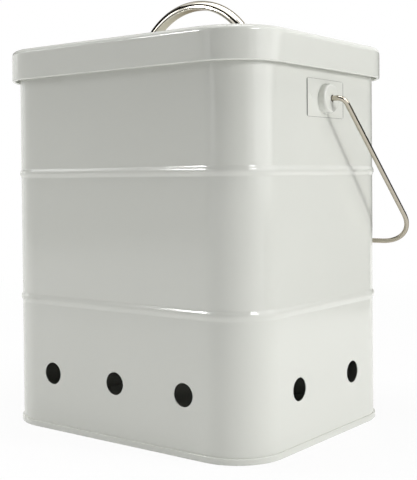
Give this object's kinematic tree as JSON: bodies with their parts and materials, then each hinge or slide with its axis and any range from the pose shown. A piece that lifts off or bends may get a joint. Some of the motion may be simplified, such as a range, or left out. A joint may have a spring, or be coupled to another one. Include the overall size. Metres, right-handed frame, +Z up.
{
  "type": "kitchen storage canister",
  "caption": "Rounded rectangular sheet-metal onion canister with raised beads, low vent holes, a lift-off lid with an arch handle, and a swinging wire bail.",
  "frame": {"origin": "middle of the base, on the surface the canister stands on", "axes": "+Z up, -Y towards the front, +X to the right seen from the front"},
  "size_m": [0.2362, 0.171, 0.2716],
  "materials": {
    "coated_steel": "glossy pale grey-white powder coat",
    "bright_handle": "polished bright plating",
    "bail_steel": "bright nickel-plated wire",
    "fixings": "zinc-plated steel"
  },
  "bodies": {
    "canister": {"body_shell": "coated_steel", "bottom_pan": "coated_steel", "ear_left": "coated_steel", "ear_right": "coated_steel"},
    "bail": {"bail_wire": "bail_steel"},
    "lid": {"lid_shell": "coated_steel", "lid_handle": "bright_handle", "handle_screws": "fixings", "handle_washers": "fixings"}
  },
  "joints": [
    {"name": "bail_swing", "type": "hinge", "parent": "canister", "child": "bail", "pos_m": [0, 0, 0.2026], "axis": [1, 0, 0], "range_deg": [0, 274.9]},
    {"name": "lid_lift", "type": "slide", "parent": "canister", "child": "lid", "axis": [0, 0, 1], "range_m": [0, 0.12]}
  ]
}
